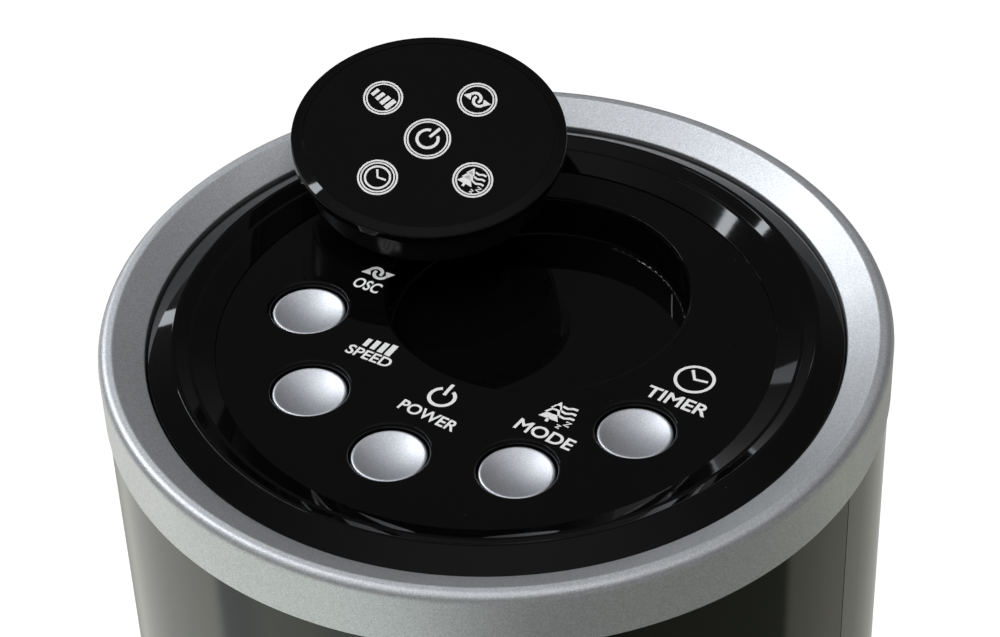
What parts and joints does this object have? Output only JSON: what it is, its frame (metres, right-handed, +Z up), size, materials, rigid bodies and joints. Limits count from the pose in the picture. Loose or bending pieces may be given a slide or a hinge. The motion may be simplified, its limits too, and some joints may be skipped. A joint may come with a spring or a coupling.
{
  "type": "tower fan",
  "caption": "Tower fan: round glossy column that swings on a round base, silver ring and dished buttons round a well on top, and a puck remote control leaning out of it.",
  "frame": {"origin": "centre of the base on the surface the feet stand on", "axes": "+Z up along the column, front of the fan faces -Y, +X to the right of a person looking from the front"},
  "size_m": [0.29, 0.2914, 0.8187],
  "materials": {
    "gloss_black": "high gloss",
    "body_black": "gloss",
    "dark_inner": "matte",
    "silver_paint": "satin silver paint on plastic",
    "natural_acetal": "satin",
    "rubber": "matte",
    "steel": "satin",
    "zinc_steel": "zinc plated",
    "lamination": "satin",
    "copper": "enamelled wire",
    "bronze": "sintered",
    "aluminium": "satin",
    "board": "solder mask",
    "component": "matte",
    "impeller_black": "satin",
    "cell": "polished steel",
    "film": "gloss printed film",
    "lens": "dark translucent"
  },
  "bodies": {
    "base": {"base_feet": "rubber", "base_plate": "dark_inner", "base_cover": "body_black", "cord_gland": "rubber", "base_screws": "zinc_steel", "swivel_stem": "natural_acetal", "swivel_washer": "steel", "swivel_clip": "steel", "swing_gear": "natural_acetal", "thrust_ring": "natural_acetal"},
    "column": {"column_floor": "dark_inner", "swing_motor": "zinc_steel", "run_capacitor": "component", "front_shell": "body_black", "rear_shell": "body_black", "column_screws": "zinc_steel", "outlet_grille": "dark_inner", "upper_bracket": "dark_inner", "lower_bracket": "dark_inner", "bearing_cushion": "rubber", "shaft_bushes": "bronze", "motor_stator": "lamination", "motor_windings": "copper", "motor_cap_lower": "aluminium", "motor_cap_upper": "aluminium", "motor_mounts": "rubber", "motor_bolts": "zinc_steel", "scroll_guide": "dark_inner", "tongue_guide": "dark_inner", "silver_ring": "silver_paint", "top_cover": "gloss_black", "control_panel": "gloss_black", "control_board": "board", "board_parts": "component", "tact_switches": "component"},
    "swing_pinion_body": {"swing_pinion": "natural_acetal", "swing_shaft": "steel"},
    "impeller_body": {"impeller": "impeller_black", "impeller_hub": "rubber", "impeller_pin": "steel", "motor_rotor": "lamination", "motor_shaft": "steel"},
    "remote_control": {"remote_top_shell": "gloss_black", "remote_film": "film", "remote_lower_shell": "dark_inner", "remote_board": "board", "remote_domes": "steel", "remote_led": "lens"},
    "battery_tray_body": {"battery_tray": "dark_inner", "coin_cell": "cell"},
    "key_osc": {"button_osc": "silver_paint", "plunger_osc": "component"},
    "key_speed": {"button_speed": "silver_paint", "plunger_speed": "component"},
    "key_power": {"button_power": "silver_paint", "plunger_power": "component"},
    "key_mode": {"button_mode": "silver_paint", "plunger_mode": "component"},
    "key_timer": {"button_timer": "silver_paint", "plunger_timer": "component"}
  },
  "joints": [
    {"name": "column_swing", "type": "hinge", "parent": "base", "child": "column", "pos_m": [0, 0, 0.035], "axis": [0, 0, 1], "range_deg": [-35, 35]},
    {"name": "swing_pinion_turn", "type": "hinge", "parent": "column", "child": "swing_pinion_body", "pos_m": [0, 0.05, 0.025], "axis": [0, 0, 1], "range_deg": [-140, 140]},
    {"name": "impeller_spin", "type": "hinge", "parent": "column", "child": "impeller_body", "pos_m": [0, 0.006, 0.4], "axis": [0, 0, 1], "continuous": true},
    {"name": "key_osc_press", "type": "slide", "parent": "column", "child": "key_osc", "axis": [0, 0, -1], "range_m": [0, 0.0008], "stiffness_N_per_m": 900, "springref_m": -0.0008},
    {"name": "key_speed_press", "type": "slide", "parent": "column", "child": "key_speed", "axis": [0, 0, -1], "range_m": [0, 0.0008], "stiffness_N_per_m": 900, "springref_m": -0.0008},
    {"name": "key_power_press", "type": "slide", "parent": "column", "child": "key_power", "axis": [0, 0, -1], "range_m": [0, 0.0008], "stiffness_N_per_m": 900, "springref_m": -0.0008},
    {"name": "key_mode_press", "type": "slide", "parent": "column", "child": "key_mode", "axis": [0, 0, -1], "range_m": [0, 0.0008], "stiffness_N_per_m": 900, "springref_m": -0.0008},
    {"name": "key_timer_press", "type": "slide", "parent": "column", "child": "key_timer", "axis": [0, 0, -1], "range_m": [0, 0.0008], "stiffness_N_per_m": 900, "springref_m": -0.0008},
    {"name": "remote_lift", "type": "slide", "parent": "column", "child": "remote_control", "axis": [0.1146, -0.1395, 0.9836], "range_m": [0, 0.06]},
    {"name": "battery_tray_slide", "type": "slide", "parent": "remote_control", "child": "battery_tray_body", "axis": [-0.9769, 0.164, 0.1371], "range_m": [0, 0.022]}
  ],
  "couplings": [
    {"joint": "swing_pinion_turn", "follows": "column_swing", "ratio": 4}
  ]
}
